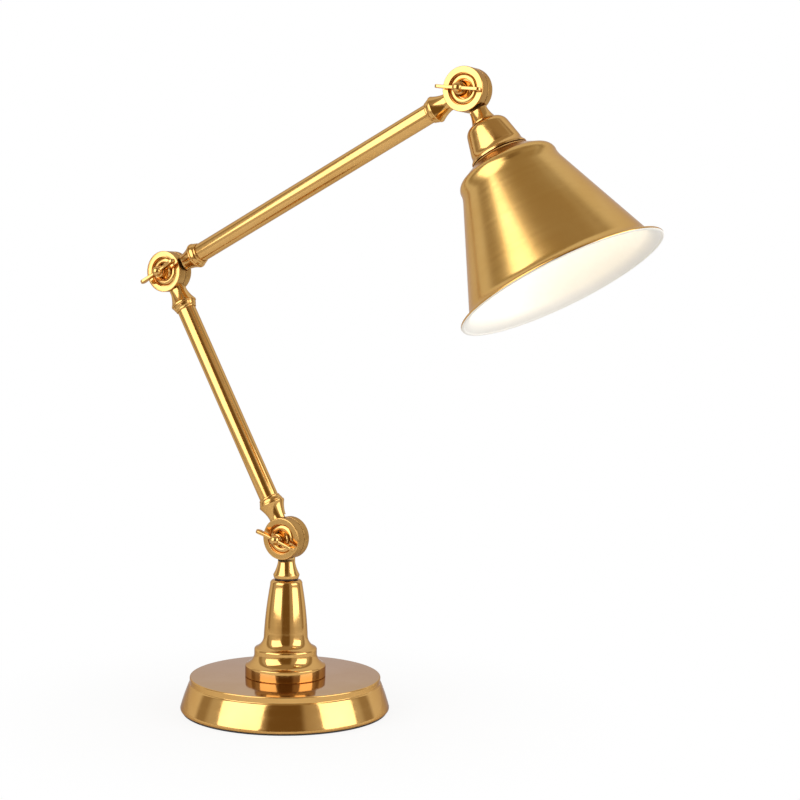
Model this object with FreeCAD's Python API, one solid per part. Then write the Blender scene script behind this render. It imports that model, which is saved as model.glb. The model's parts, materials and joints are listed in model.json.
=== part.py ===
import FreeCAD, Part

import math
import os

# Articulated desk lamp, millimetres and degrees, +Z up.
# The origin is the centre of the round base, on the face it stands on.
# The arms and the head swing in the XZ plane; the wing nuts face -Y and the cord leaves towards +Y.

# ---- driving dimensions: proportions and pose ----
BASE_R = 83.0
BASE_HEIGHT = 28.0
STEM_LENGTH = 77.0
LOWER_ARM_LENGTH = 240.38
UPPER_ARM_LENGTH = 305.28
LOWER_ARM_ANGLE = 119.32
UPPER_ARM_ANGLE = 26.33
HEAD_ANGLE = -60.58
TUBE_R = 7.6
TUBE_WALL = 1.0
KNUCKLE_R = 16.65

# ---- clearances ----
RUN_FIT = 0.05
SEAT_FIT = 0.03
SCREW_PLAY = 0.15

# ---- base ----
PAD_T = 1.2
PAD_INSET = 1.6
SHELL_WALL = 1.2
LIP_HEIGHT = 5.0
LIP_INSET = 7.2
WEIGHT_GAP = 2.4
WEIGHT_HEIGHT = 17.0
WEIGHT_BOSS_R = 40.0
WIRE_R = 4.0
WIRE_WAY_R = 8.0
CORD_HOLE_R = 4.4
CORD_HEIGHT = 11.5
BUSH_LIP_R = 6.2
BUSH_LIP_T = 1.2
BUSH_LENGTH = 9.0

# ---- stem and its swivel ----
FOOT_R = 32.0
FOOT_HEIGHT = 9.5
TIER_R = 24.9
TIER_HEIGHT = 21.0
COLUMN_R = 17.5
COLUMN_TOP_R = 12.8
STEM_BORE_R = 13.5
STEM_WEB = 8.0
STEM_WALL = 3.0
STEM_SCREW_R = 2.0
STEM_SCREW_RING_R = 24.0
STEM_SCREW_BITE = 10.0
STEM_SCREW_HEAD_R = 3.6
STEM_SCREW_HEAD_T = 2.8
STEM_SCREW_SINK = 1.8
SPIGOT_R = 6.0
SWIVEL_RING_R = 9.1
SWIVEL_RING_T = 1.5
SWIVEL_SPRING_R = 8.8
SWIVEL_SPRING_T = 1.5
SWIVEL_NUT_R = 8.6
SWIVEL_NUT_T = 5.0

# ---- knuckle: two dished halves on a bolt, clamped by a wing nut ----
FRONT_T = 8.6
BACK_T = 7.8
PART_GAP = 0.7
FACE_RING_W = 4.6
FACE_RING_DEPTH = 2.0
DISH_R = 7.2
DISH_DEPTH = 3.8
DISH_CROWN = 0.8
BOLT_R = 3.0
PIVOT_BOSS_R = 5.2
CHAMBER_R = 13.4
CHAMBER_DEPTH = 3.4
FRICTION_RING_W = 2.0
NECK_R = 6.85
NECK_CUT_GAP = 2.0
NECK_FLANGE_R = 10.45
NECK_STRAIGHT = 2.6
NECK_REACH = 13.85
NECK_BORE_R = 3.6
STEM_NECK_REACH = 15.18
TUBE_SPIGOT_LENGTH = 14.0
FERRULE_LENGTH = 4.9
BOLT_HEAD_T = 2.6
BOLT_TIP = 1.0
NUT_WASHER_T = 1.0
NUT_FOOT_R = 6.4
NUT_HUB_R = 4.7
NUT_BALL_R = 4.0
NUT_BALL_RISE = 10.8
WING_SPAN = 19.0
WING_T = 2.5
WING_DEPTH = 6.0
WING_SETTING = (161.0, 210.0, 174.0)

# ---- head: socket cup, lampholder, bulb and shade, measured along its axis ----
HEAD_NECK_REACH = 11.55
HEAD_NECK_R = 9.4
CUP_WALL = 1.2
CUP_TOP_R = 16.4
CUP_LENGTH = 27.1
CUP_MOUTH_R = 21.8
HEAD_NIPPLE_R = 5.0
HEAD_NIPPLE_BITE = 9.0
HEAD_NUT_R = 8.0
HEAD_NUT_T = 3.4
HOLDER_CAP_R = 14.5
HOLDER_CAP_LENGTH = 9.5
HOLDER_R = 16.6
HOLDER_LENGTH = 42.0
HOLDER_WALL = 1.8
SCREW_SHELL_R = 14.3
CONTACT_R = 2.6
SHADE_HOLE_PLAY = 0.4
SHADE_RING_T = 5.2
SHADE_RING_W = 2.7
BULB_CAP_R = 13.3
BULB_CAP_LENGTH = 25.0
BULB_R = 22.5
BULB_LENGTH = 77.0
SHADE_WALL = 1.0
SHADE_SHOULDER_R = 38.3
SHADE_SHOULDER_DROP = 14.5
SHADE_CONE_TOP_R = 39.96
SHADE_CONE_END_R = 69.96
SHADE_MOUTH_R = 78.8
SHADE_LENGTH = 106.0
SHADE_BEAD_R = 1.3


# ---- places worked out from the driving dimensions ----
def polar(start, angle, length):
    """Point in the XZ plane, a length away from start at an angle above +X."""
    turn = math.radians(angle)
    return start + FreeCAD.Vector(math.cos(turn), 0, math.sin(turn)) * length


STEM_TOP = BASE_HEIGHT + STEM_LENGTH
NECK_FOOT = STEM_TOP + SWIVEL_RING_T
SHOULDER = FreeCAD.Vector(0, 0, NECK_FOOT + KNUCKLE_R + STEM_NECK_REACH)
ELBOW = polar(SHOULDER, LOWER_ARM_ANGLE, LOWER_ARM_LENGTH)
WRIST = polar(ELBOW, UPPER_ARM_ANGLE, UPPER_ARM_LENGTH)
FRONT_FACE = PART_GAP / 2 + FRONT_T
BACK_FACE = PART_GAP / 2 + BACK_T
NUT_SEAT = FRONT_FACE - DISH_DEPTH + NUT_WASHER_T
FLANGE_END = KNUCKLE_R + NECK_REACH
HEAD_NECK_END = KNUCKLE_R + HEAD_NECK_REACH
CUP_END = HEAD_NECK_END + CUP_LENGTH
HOLDER_CAP_START = HEAD_NECK_END + CUP_WALL + HEAD_NUT_T
HOLDER_START = HOLDER_CAP_START + HOLDER_CAP_LENGTH
HOLDER_END = HOLDER_START + HOLDER_LENGTH
BULB_START = HOLDER_START + 17.0
SHADE_RIM = CUP_END + SHADE_LENGTH


# ---- drawing helpers ----
def spot(point):
    """A flat (radius, height) point as a vector in the XZ plane."""
    return FreeCAD.Vector(point[0], 0, point[1])


def line_of(start, *steps):
    """Open line in the XZ plane: a step is a point, or (middle, end) for an arc through both."""
    edges = []
    here = start
    for step in steps:
        if isinstance(step[0], tuple):
            middle, end = step
            edges.append(Part.Arc(spot(here), spot(middle), spot(end)).toShape())
        else:
            end = step
            edges.append(Part.makeLine(spot(here), spot(end)))
        here = end
    return edges


def outline(start, *steps):
    """Closed face in the XZ plane, drawn like line_of and closed by a straight edge."""
    edges = line_of(start, *steps)
    last = edges[-1].Vertexes[-1].Point
    if last.distanceToPoint(spot(start)) > 1e-6:
        edges.append(Part.makeLine(last, spot(start)))
    return Part.Face(Part.Wire(edges))


def revolved(face):
    """Solid of revolution about Z, turned right side out whichever way its face was drawn."""
    swept = face.revolve(FreeCAD.Vector(), FreeCAD.Vector(0, 0, 1), 360)
    return Part.makeSolid(swept.Shells[0])


def turned(start, *steps):
    """Solid turned about Z from a closed outline."""
    return revolved(outline(start, *steps))


def spun(wall, start, *steps):
    """Sheet of even wall, spun about Z from its drawn line; a negative wall lies on the other side."""
    sheet = Part.Wire(line_of(start, *steps)).makeOffset2D(wall, join=2, fill=True, openResult=True)
    return revolved(sheet.Faces[0])


def rod(radius, bottom, top):
    return Part.makeCylinder(radius, top - bottom, FreeCAD.Vector(0, 0, bottom))


def tube(radius, bore, bottom, top):
    return rod(radius, bottom, top).cut(rod(bore, bottom, top))


def hexagon(radius, bottom, top):
    """Hexagonal prism on Z, its corners at the radius."""
    corners = [
        FreeCAD.Vector(radius * math.cos(math.radians(60 * i)), radius * math.sin(math.radians(60 * i)), bottom)
        for i in range(7)
    ]
    return Part.Face(Part.makePolygon(corners)).extrude(FreeCAD.Vector(0, 0, top - bottom))


def ring_of(shape, count, start=0.0):
    """Copies of one solid, evenly spaced about Z."""
    copies = []
    for i in range(count):
        copy = shape.copy()
        copy.rotate(FreeCAD.Vector(), FreeCAD.Vector(0, 0, 1), start + 360.0 * i / count)
        copies.append(copy)
    return copies


def at_joint(shape, centre, angle=0.0):
    """From a knuckle's own frame (pivot on Z, front +Z, neck on +X) to its place in the lamp."""
    placed = shape.copy()
    placed.rotate(FreeCAD.Vector(), FreeCAD.Vector(0, 0, 1), angle)
    placed.rotate(FreeCAD.Vector(), FreeCAD.Vector(1, 0, 0), 90)
    placed.translate(centre)
    return placed


def lengthwise(shape):
    """Turns a solid drawn along Z so that it lies along +X."""
    laid = shape.copy()
    laid.rotate(FreeCAD.Vector(), FreeCAD.Vector(0, 1, 0), 90)
    return laid


def along(shape, centre, angle):
    """Puts a solid drawn along Z on the line that leaves a joint at an angle."""
    return at_joint(lengthwise(shape), centre, angle)


# ---- base ----
def base_flank(inset=0.0):
    """Outer line of the spun base from its foot to the top of its flared flank."""
    lip_foot = BASE_HEIGHT - LIP_HEIGHT
    return (
        (BASE_R - PAD_INSET - inset, PAD_T),
        ((BASE_R - 0.45 - inset, PAD_T + 0.8), (BASE_R - inset, PAD_T + 2.3)),
        ((BASE_R - 2.3 - inset, PAD_T + 10.0), (BASE_R - LIP_INSET + 0.8 - inset, lip_foot - 0.7)),
    )


def base_shell():
    lip_r = BASE_R - LIP_INSET
    lip_foot = BASE_HEIGHT - LIP_HEIGHT
    edge = 0.8
    shell = spun(
        SHELL_WALL,
        *base_flank(),
        (lip_r, lip_foot),
        (lip_r, BASE_HEIGHT - edge),
        ((lip_r - 0.24, BASE_HEIGHT - 0.24), (lip_r - edge, BASE_HEIGHT)),
        (WIRE_WAY_R, BASE_HEIGHT),
    )
    shell = shell.cut(rearward(rod(CORD_HOLE_R + SEAT_FIT, 0, BASE_R)))
    for hole in stem_screw_ring(rod(STEM_SCREW_R + SCREW_PLAY, 0, BASE_HEIGHT)):
        shell = shell.cut(hole)
    return shell


def rearward(shape):
    """From the Z axis to the cord's line, which runs to +Y low in the base."""
    laid = shape.copy()
    laid.rotate(FreeCAD.Vector(), FreeCAD.Vector(1, 0, 0), -90)
    laid.translate(FreeCAD.Vector(0, 0, CORD_HEIGHT))
    return laid


def stem_screw_ring(shape):
    """Three copies of a solid drawn on the Z axis, on the screw circle of the stem's foot."""
    moved = shape.copy()
    moved.translate(FreeCAD.Vector(STEM_SCREW_RING_R, 0, 0))
    return ring_of(moved, 3, 30.0)


def base_weight():
    """Cast iron disc with a boss up to the shell's top plate, and a channel for the cord."""
    rim_r = BASE_R - LIP_INSET - SHELL_WALL - WEIGHT_GAP / 2
    top = PAD_T + WEIGHT_HEIGHT
    chamfer = 2.0
    weight = turned(
        (WIRE_WAY_R, PAD_T),
        (rim_r, PAD_T),
        (rim_r, top - chamfer),
        (rim_r - chamfer, top),
        (WEIGHT_BOSS_R + 3.0, top),
        (WEIGHT_BOSS_R, top + 3.0),
        (WEIGHT_BOSS_R, BASE_HEIGHT - SHELL_WALL),
        (WIRE_WAY_R, BASE_HEIGHT - SHELL_WALL),
    )
    weight = weight.cut(rearward(rod(CORD_HOLE_R + WEIGHT_GAP, 0, BASE_R)))
    sink = PAD_T + STEM_SCREW_SINK + STEM_SCREW_HEAD_T
    for hole in stem_screw_ring(rod(STEM_SCREW_R + SCREW_PLAY, 0, BASE_HEIGHT)):
        weight = weight.cut(hole)
    for hole in stem_screw_ring(rod(STEM_SCREW_HEAD_R + SCREW_PLAY, 0, sink)):
        weight = weight.cut(hole)
    return weight


def base_pad():
    """Thin foot under the whole base, its lower edge eased."""
    radius = BASE_R - PAD_INSET
    ease = 0.4
    return turned((0, 0), (radius - ease, 0), (radius, ease), (radius, PAD_T), (0, PAD_T))


def cord_bush():
    """Bush for the cord in the rear of the base, its lip shaped to the flared flank."""
    lip = spun(-BUSH_LIP_T, *base_flank())
    lip = lip.common(rearward(rod(BUSH_LIP_R, 0, BASE_R + BUSH_LIP_T)))
    inner = BASE_R - LIP_INSET - BUSH_LENGTH + SHELL_WALL
    sleeve = rearward(rod(CORD_HOLE_R, inner, BASE_R))
    flank = turned((0, PAD_T), *base_flank(), (0, BASE_HEIGHT - LIP_HEIGHT - 0.7))
    bush = sleeve.common(flank).fuse(lip)
    return bush.cut(rearward(rod(CORD_HOLE_R - 1.2, 0, BASE_R * 2))).removeSplitter()


# ---- stem ----
def stem():
    """Turned stem: foot, cove, tier, cove and tapered column, hollow from below."""
    foot_top = BASE_HEIGHT + FOOT_HEIGHT
    tier_top = BASE_HEIGHT + TIER_HEIGHT
    column_foot = tier_top + 10.0
    shoulder = STEM_TOP - 3.5
    edge = 0.6
    solid = turned(
        (0, BASE_HEIGHT),
        (FOOT_R - edge, BASE_HEIGHT),
        (FOOT_R, BASE_HEIGHT + edge),
        (FOOT_R, foot_top - 0.9),
        ((FOOT_R - 0.25, foot_top - 0.3), (FOOT_R - 0.8, foot_top)),
        ((27.2, foot_top + 3.0), (TIER_R, tier_top - 4.2)),
        (TIER_R, tier_top),
        ((TIER_R - 0.5, tier_top + 1.5), (TIER_R - 1.6, tier_top + 2.1)),
        ((19.6, tier_top + 5.0), (COLUMN_R, column_foot)),
        ((16.3, column_foot + 17.0), (COLUMN_TOP_R, shoulder)),
        ((COLUMN_TOP_R - 0.6, shoulder + 2.4), (COLUMN_TOP_R - 2.0, STEM_TOP)),
        (0, STEM_TOP),
    )
    web = STEM_TOP - STEM_WEB
    bore = turned(
        (0, BASE_HEIGHT),
        (STEM_BORE_R, BASE_HEIGHT),
        (STEM_BORE_R, column_foot),
        (COLUMN_TOP_R - STEM_WALL, web),
        (0, web),
    )
    solid = solid.cut(bore).cut(rod(SPIGOT_R + RUN_FIT, web, STEM_TOP))
    for hole in stem_screw_ring(rod(STEM_SCREW_R, BASE_HEIGHT, BASE_HEIGHT + STEM_SCREW_BITE + 1.0)):
        solid = solid.cut(hole)
    return solid


def stem_screws():
    """Three pan-head screws, up through the weight and the top plate into the stem's foot."""
    head_top = PAD_T + STEM_SCREW_SINK + STEM_SCREW_HEAD_T
    head_bottom = PAD_T + STEM_SCREW_SINK
    shank = STEM_SCREW_R - SEAT_FIT
    tip = BASE_HEIGHT + STEM_SCREW_BITE
    screw = turned(
        (0, head_bottom),
        (STEM_SCREW_HEAD_R - 1.0, head_bottom),
        ((STEM_SCREW_HEAD_R - 0.3, head_bottom + 0.7), (STEM_SCREW_HEAD_R, head_bottom + 1.7)),
        (STEM_SCREW_HEAD_R, head_top),
        (shank, head_top),
        (shank, tip - shank / 2),
        (shank / 2, tip),
        (0, tip),
    )
    return Part.makeCompound(stem_screw_ring(screw))


def swivel_ring():
    """Dark friction ring on which the arm turns."""
    return tube(SWIVEL_RING_R, SPIGOT_R + SCREW_PLAY, STEM_TOP, NECK_FOOT - RUN_FIT)


def swivel_spring():
    """Dished spring washer under the stem's web."""
    top = STEM_TOP - STEM_WEB - RUN_FIT
    rise = SWIVEL_SPRING_T * 0.4
    return turned(
        (SPIGOT_R + SCREW_PLAY, top - SWIVEL_SPRING_T),
        (SWIVEL_SPRING_R - 1.0, top - SWIVEL_SPRING_T + rise),
        (SWIVEL_SPRING_R, top - rise),
        (SWIVEL_SPRING_R, top),
        (SPIGOT_R + 1.5, top - rise),
        (SPIGOT_R + SCREW_PLAY, top - rise),
    )


def swivel_nut():
    top = STEM_TOP - STEM_WEB - RUN_FIT - SWIVEL_SPRING_T
    nut = hexagon(SWIVEL_NUT_R, top - SWIVEL_NUT_T, top)
    return nut.cut(rod(SPIGOT_R + SEAT_FIT, top - SWIVEL_NUT_T, top))


# ---- knuckle halves ----
def dish(thickness, bore, back_edge):
    """One half of a knuckle, its parting face at half the gap and its outer face towards +Z."""
    inner = PART_GAP / 2
    face = inner + thickness
    ring_r = KNUCKLE_R - FACE_RING_W
    crown = face - DISH_CROWN
    groove = face - FACE_RING_DEPTH
    floor = face - DISH_DEPTH
    ease = back_edge * (1 - math.sqrt(0.5))
    middle_r = (ring_r + DISH_R) / 2
    return turned(
        (bore, inner),
        (PIVOT_BOSS_R, inner),
        (PIVOT_BOSS_R, inner + CHAMBER_DEPTH),
        (CHAMBER_R, inner + CHAMBER_DEPTH),
        (CHAMBER_R, inner),
        (KNUCKLE_R, inner),
        (KNUCKLE_R, face - back_edge),
        ((KNUCKLE_R - ease, face - ease), (KNUCKLE_R - back_edge, face)),
        (ring_r, face),
        (ring_r, groove),
        (ring_r - 0.6, groove),
        ((middle_r + 0.4, crown - 0.15), (DISH_R + 0.5, crown)),
        (DISH_R, crown - 0.5),
        (DISH_R, floor),
        (bore, floor),
    )


def neck_body(flange_r, reach, *end):
    """Turned neck along Z from inside the knuckle's rim: straight, then flared to its flange."""
    root = KNUCKLE_R - 2.2
    flare = KNUCKLE_R + NECK_STRAIGHT
    flange = KNUCKLE_R + reach - 1.3
    middle = (flare + flange) / 2
    return turned(
        (0, root),
        (NECK_R, root),
        (NECK_R, flare),
        ((NECK_R + (flange_r - NECK_R) * 0.36, middle), (flange_r, flange)),
        *end,
    )


def knuckle_half(front, neck):
    """A dished half with its neck on +X; the neck clears the other half, which turns past it."""
    thickness = FRONT_T if front else BACK_T
    bore = BOLT_R + (RUN_FIT if front else SEAT_FIT)
    disc = dish(thickness, bore, 0.6 if front else 2.0)
    if not front:
        disc.rotate(FreeCAD.Vector(), FreeCAD.Vector(1, 0, 0), 180)
    if front:
        sweep = rod(KNUCKLE_R + NECK_CUT_GAP, -KNUCKLE_R, PART_GAP / 2)
    else:
        sweep = rod(KNUCKLE_R + NECK_CUT_GAP, -PART_GAP / 2, KNUCKLE_R)
    half = disc.fuse(lengthwise(neck).cut(sweep))
    wire_way = lengthwise(rod(NECK_BORE_R, CHAMBER_R - 2.0, KNUCKLE_R * 10))
    return half.cut(wire_way).removeSplitter()


def arm_neck():
    """Neck with a flange and a spigot that carries an arm tube."""
    spigot_r = TUBE_R - TUBE_WALL - SEAT_FIT
    end = FLANGE_END + TUBE_SPIGOT_LENGTH
    return neck_body(
        NECK_FLANGE_R,
        NECK_REACH,
        (NECK_FLANGE_R, FLANGE_END - 0.3),
        (NECK_FLANGE_R - 0.3, FLANGE_END),
        (spigot_r, FLANGE_END),
        (spigot_r, end),
        (0, end),
    )


def stem_neck():
    """Neck that stands on the stem, with a long spigot for the swivel."""
    foot = KNUCKLE_R + STEM_NECK_REACH
    end = foot + STEM_TOP - NECK_FOOT + SWIVEL_RING_T * 2 + STEM_WEB + SWIVEL_SPRING_T + SWIVEL_NUT_T + 2.0
    return neck_body(
        NECK_FLANGE_R,
        STEM_NECK_REACH - 1.4,
        (NECK_FLANGE_R, foot - 2.2),
        (NECK_FLANGE_R - 0.6, foot),
        (SPIGOT_R, foot),
        (SPIGOT_R, end),
        (0, end),
    )


def head_neck():
    """Shorter neck that carries the socket cup."""
    return neck_body(
        HEAD_NECK_R,
        HEAD_NECK_REACH + 0.3,
        (HEAD_NECK_R, HEAD_NECK_END),
        (0, HEAD_NECK_END),
    )


def head_half():
    """Back half of the wrist, its neck bored out for the head's nipple."""
    socket = rod(HEAD_NIPPLE_R + SEAT_FIT, HEAD_NECK_END - HEAD_NIPPLE_BITE, HEAD_NECK_END * 2)
    return knuckle_half(False, head_neck()).cut(lengthwise(socket))


def friction_ring():
    """Friction washer between the two halves, carried by the front one."""
    outer = KNUCKLE_R - 0.75
    return tube(outer, outer - FRICTION_RING_W, -PART_GAP / 2 + RUN_FIT, PART_GAP / 2)


def nut_washer():
    """Washer under the wing nut, in the front dish."""
    floor = FRONT_FACE - DISH_DEPTH
    return tube(NUT_FOOT_R, BOLT_R + SCREW_PLAY, floor, floor + NUT_WASHER_T - RUN_FIT)


def pivot_bolt():
    """Slotted bolt, its head in the back dish and its thread in the wing nut."""
    seat = -(BACK_FACE - DISH_DEPTH)
    tip = NUT_SEAT + NUT_BALL_RISE - BOLT_TIP
    head_r = DISH_R - SCREW_PLAY
    crown = seat - BOLT_HEAD_T
    bolt = turned(
        (0, crown - 0.8),
        ((head_r * 0.6, crown - 0.5), (head_r, crown + 0.6)),
        (head_r, seat),
        (BOLT_R, seat),
        (BOLT_R, tip - 0.8),
        (BOLT_R - 0.8, tip),
        (0, tip),
    )
    slot = Part.makeBox(head_r * 3, 1.4, 2.2, FreeCAD.Vector(-head_r * 1.5, -0.7, crown - 1.2))
    return bolt.cut(slot)


def wing_nut():
    """Wing nut with a flared foot, a ball top and two flat wings with round tips."""
    ball = NUT_SEAT + NUT_BALL_RISE
    hub_top = ball - math.sqrt(NUT_BALL_R**2 - (NUT_BALL_R - 0.3) ** 2)
    foot = NUT_SEAT + RUN_FIT
    hub = turned(
        (0, foot),
        (NUT_FOOT_R, foot),
        (NUT_FOOT_R, foot + 0.9),
        ((NUT_HUB_R + 0.6, foot + 2.3), (NUT_HUB_R, foot + 4.4)),
        (NUT_HUB_R, hub_top - 0.5),
        (NUT_BALL_R - 0.3, hub_top),
        ((NUT_BALL_R * 0.96, ball + NUT_BALL_R * 0.28), (0, ball + NUT_BALL_R)),
    )
    middle = ball - 1.0
    tip_r = WING_DEPTH / 2
    waist = tip_r * 0.72
    round_at = WING_SPAN - tip_r
    side = outline(
        (0, middle - waist),
        ((round_at * 0.55, middle - waist), (round_at, middle - tip_r)),
        ((WING_SPAN, middle), (round_at, middle + tip_r)),
        ((round_at * 0.55, middle + waist), (0, middle + waist)),
    )
    side.translate(FreeCAD.Vector(0, -WING_T / 2, 0))
    wing = side.extrude(FreeCAD.Vector(0, WING_T, 0))
    nut = hub
    for copy in ring_of(wing, 2):
        nut = nut.fuse(copy)
    bore = rod(BOLT_R + RUN_FIT, foot - 1.0, NUT_SEAT + NUT_BALL_RISE - BOLT_TIP + 0.3)
    return nut.cut(bore).removeSplitter()


# ---- arms ----
def arm_tube(length):
    """Plain tube between the flanges of two necks."""
    return tube(TUBE_R, TUBE_R - TUBE_WALL, FLANGE_END, length - FLANGE_END)


def ferrule():
    """Turned collar round the end of a tube, stepped down in two beads."""
    bore = TUBE_R + SEAT_FIT
    foot = FLANGE_END
    return turned(
        (bore, foot),
        (NECK_FLANGE_R - 0.7, foot),
        (NECK_FLANGE_R - 0.6, foot + 0.4),
        (NECK_FLANGE_R - 1.0, foot + 1.7),
        ((NECK_FLANGE_R - 1.3, foot + 2.6), (NECK_FLANGE_R - 1.9, foot + 3.3)),
        ((bore + 1.0, foot + 4.1), (bore + 0.5, foot + FERRULE_LENGTH)),
        (bore, foot + FERRULE_LENGTH),
    )


def ferrule_pair(length, centre, angle):
    """The collars at both ends of one arm."""
    far = polar(centre, angle, length)
    return Part.makeCompound([along(ferrule(), centre, angle), along(ferrule(), far, angle + 180)])


# ---- head ----
def socket_cup():
    """Spun cup over the lampholder, round at the neck and flared to its rim."""
    top = HEAD_NECK_END
    return spun(
        CUP_WALL,
        (HEAD_NIPPLE_R + SCREW_PLAY, top),
        (HEAD_NECK_R, top),
        ((CUP_TOP_R - 2.4, top + 1.9), (CUP_TOP_R, top + 6.0)),
        (CUP_TOP_R + 3.2, CUP_END - 7.0),
        ((CUP_TOP_R + 3.9, CUP_END - 3.6), (CUP_MOUTH_R, CUP_END - 1.4)),
        (CUP_MOUTH_R, CUP_END),
    )


def head_nipple():
    """Hollow threaded nipple from the neck through the cup into the lampholder's cap."""
    return tube(HEAD_NIPPLE_R, NECK_BORE_R, HEAD_NECK_END - HEAD_NIPPLE_BITE, HOLDER_CAP_START + 6.0)


def head_nut():
    bottom = HEAD_NECK_END + CUP_WALL
    nut = hexagon(HEAD_NUT_R, bottom, bottom + HEAD_NUT_T)
    return nut.cut(rod(HEAD_NIPPLE_R + SEAT_FIT, bottom, bottom + HEAD_NUT_T))


def holder_cap():
    """Domed cap of the lampholder, screwed on the nipple."""
    bottom = HOLDER_CAP_START
    bore = HEAD_NIPPLE_R + SEAT_FIT
    wall = 2.0
    dome = turned(
        (bore, bottom),
        (HOLDER_CAP_R - 4.5, bottom),
        ((HOLDER_CAP_R - 1.2, bottom + 1.3), (HOLDER_CAP_R, bottom + 4.5)),
        (HOLDER_CAP_R, HOLDER_START),
        (HOLDER_CAP_R - wall, HOLDER_START),
        (HOLDER_CAP_R - wall, bottom + 6.5),
        (bore, bottom + 6.5),
    )
    return dome


def holder_body():
    """Lampholder body, a cup with a floor that carries the contact, threaded outside for the shade ring."""
    floor = HOLDER_START + 4.0
    inner = HOLDER_R - HOLDER_WALL
    return turned(
        (CONTACT_R + SEAT_FIT, HOLDER_START),
        (HOLDER_R - 1.0, HOLDER_START),
        (HOLDER_R, HOLDER_START + 1.0),
        (HOLDER_R, HOLDER_END - 0.8),
        (HOLDER_R - 0.8, HOLDER_END),
        (inner, HOLDER_END),
        (inner, floor),
        (CONTACT_R + SEAT_FIT, floor),
    )


def holder_contact():
    """Centre contact on its stalk, up to the tip of the bulb's cap."""
    return turned(
        (0, HOLDER_START - 1.5),
        (CONTACT_R, HOLDER_START - 1.5),
        (CONTACT_R, BULB_START - 3.0),
        (CONTACT_R + 1.4, BULB_START - 2.0),
        (CONTACT_R + 1.4, BULB_START - 0.8),
        (CONTACT_R + 0.6, BULB_START),
        (0, BULB_START),
    )


def holder_shell():
    """Metal screw shell that grips the bulb's cap."""
    inner = BULB_CAP_R + RUN_FIT
    start = HOLDER_START + 4.0
    end = HOLDER_START + 36.0
    return tube(SCREW_SHELL_R, inner, start, end)


def shade_ring():
    """Ring on the lampholder's thread that clamps the shade to the cup."""
    start = CUP_END + SHADE_WALL
    inner = HOLDER_R + SEAT_FIT
    outer = inner + SHADE_RING_W
    return turned(
        (inner, start),
        (outer, start),
        (outer, start + 2.0),
        (outer - 0.7, start + 2.6),
        (outer - 0.7, start + SHADE_RING_T),
        (inner, start + SHADE_RING_T),
    )


def bulb_cap():
    """Screw cap of the bulb with its insulated tip."""
    return turned(
        (0, BULB_START),
        (4.6, BULB_START),
        (BULB_CAP_R - 3.0, BULB_START + 4.0),
        (BULB_CAP_R, BULB_START + 6.0),
        (BULB_CAP_R, BULB_START + BULB_CAP_LENGTH),
        (0, BULB_START + BULB_CAP_LENGTH),
    )


def bulb_globe():
    """Opal globe, necked down to its cap."""
    foot = BULB_START + BULB_CAP_LENGTH
    end = BULB_START + BULB_LENGTH
    centre = end - BULB_R
    neck = centre - BULB_R * 0.8
    return turned(
        (0, foot),
        (BULB_CAP_R - 0.3, foot),
        ((BULB_CAP_R + 0.5, (foot + neck) / 2), (BULB_R * 0.75, centre - BULB_R * math.sqrt(1 - 0.75**2))),
        ((BULB_R, centre), (0, end)),
    )


def shade():
    """Spun shade: flat crown, shoulder, cone and flared mouth with a rolled bead."""
    crown = CUP_END
    shoulder = crown + SHADE_SHOULDER_DROP
    cone = shoulder + 8.2
    rim = SHADE_RIM
    sheet = spun(
        SHADE_WALL,
        (HOLDER_R + SHADE_HOLE_PLAY, crown),
        (HOLDER_R + SHADE_HOLE_PLAY + 2.6, crown),
        ((SHADE_SHOULDER_R - 16.8, crown + 0.6), (SHADE_SHOULDER_R - 15.7, crown + 1.9)),
        (SHADE_SHOULDER_R - 5.0, crown + 8.2),
        ((SHADE_SHOULDER_R - 1.1, crown + 11.4), (SHADE_SHOULDER_R, shoulder)),
        (SHADE_SHOULDER_R, shoulder + 2.0),
        ((SHADE_SHOULDER_R + 0.5, shoulder + 4.6), (SHADE_CONE_TOP_R, cone)),
        (SHADE_CONE_END_R, rim - 8.3),
        ((SHADE_CONE_END_R + 2.7, rim - 3.5), (SHADE_MOUTH_R - 0.9, rim - 0.5)),
    )
    bead = Part.makeTorus(SHADE_MOUTH_R, SHADE_BEAD_R, FreeCAD.Vector(0, 0, rim))
    return sheet.fuse(bead).removeSplitter()


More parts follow.
